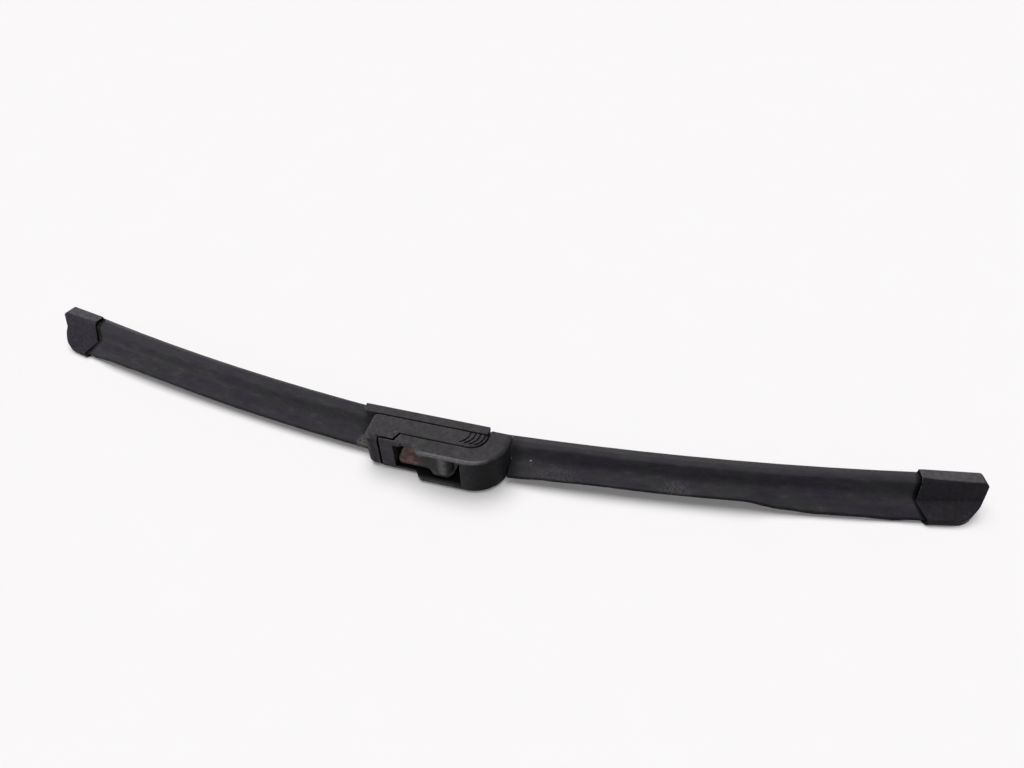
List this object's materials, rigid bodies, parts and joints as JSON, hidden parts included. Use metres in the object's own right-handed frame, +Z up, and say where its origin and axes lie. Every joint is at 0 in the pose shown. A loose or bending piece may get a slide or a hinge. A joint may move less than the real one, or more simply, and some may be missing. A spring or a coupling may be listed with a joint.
{
  "type": "wiper blade",
  "caption": "Bowed flat windscreen wiper blade with finned rubber spoilers, moulded end caps and a pin connector whose open window takes the wiper arm.",
  "frame": {"origin": "on the table the blade lies on, below the middle of the blade's straight run under the connector, at the rails' height across the blade", "axes": "+X along the blade, +Z up to the side that faces the wind, -Y towards the spoiler's ridge and the wiper arm; the lip points to +Y"},
  "size_m": [0.451, 0.0567, 0.02],
  "materials": {
    "spring_steel": "dark spring steel",
    "lip_rubber": "smooth, graphite coated",
    "spoiler_rubber": "matte, worn and dusty",
    "cap_plastic": "satin moulded",
    "rusted_steel": "rusted pressed sheet",
    "pin_steel": "turned",
    "bush_plastic": "moulded",
    "connector_plastic": "fine grained moulded"
  },
  "bodies": {
    "root": {"flexor_rail_leading": "spring_steel", "flexor_rail_trailing": "spring_steel", "wiper_rubber": "lip_rubber", "spoiler_left": "spoiler_rubber", "spoiler_right": "spoiler_rubber", "rail_clip_left": "spring_steel", "rail_clip_right": "spring_steel", "end_cap_left": "cap_plastic", "end_cap_right": "cap_plastic", "connector_bracket": "rusted_steel", "pivot_pin": "pin_steel", "pivot_bush": "bush_plastic", "connector_base": "connector_plastic", "connector_housing": "connector_plastic", "connector_cover": "connector_plastic"}
  },
  "joints": []
}
